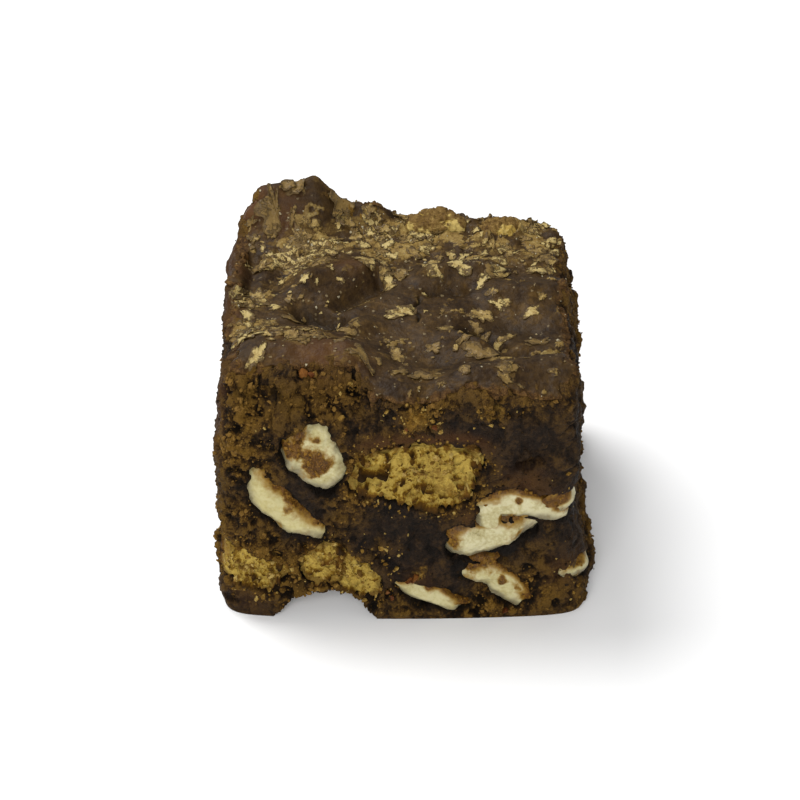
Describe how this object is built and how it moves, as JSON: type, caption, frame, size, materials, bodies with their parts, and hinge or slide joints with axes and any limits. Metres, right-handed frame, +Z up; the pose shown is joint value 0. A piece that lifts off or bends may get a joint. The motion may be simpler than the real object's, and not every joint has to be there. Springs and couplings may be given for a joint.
{
  "type": "chocolate brownie",
  "caption": "Square cut of chocolate brownie with a cracked, flaky top crust and biscuit pieces and white chocolate lumps showing in its cut faces.",
  "frame": {"origin": "centre of the slice's base, on the surface it rests on", "axes": "+Z up; -Y out of the front cut face, the one with the large biscuit piece in its middle; +X to the right of that face"},
  "size_m": [0.0634, 0.0593, 0.0526],
  "materials": {
    "brownie": "dark moist crumb under a thin dull crust with pale flakes",
    "biscuit": "dry golden crumb",
    "white": "satin cream-coloured chocolate with a slight gloss"
  },
  "bodies": {
    "root": {"brownie": "brownie", "biscuit_middle": "biscuit", "biscuit_base_left": "biscuit", "biscuit_base_middle": "biscuit", "white_lump_upper_left": "white", "white_lump_left": "white", "white_lump_right": "white", "white_lump_base_right": "white", "white_lump_base_middle": "white", "white_bit_upper_right": "white", "white_bit_lower_right": "white", "white_lump_right_side": "white", "white_lump_left_side": "white", "white_lump_back": "white", "biscuit_lump_back": "biscuit", "biscuit_lump_back_right": "biscuit"}
  },
  "joints": []
}
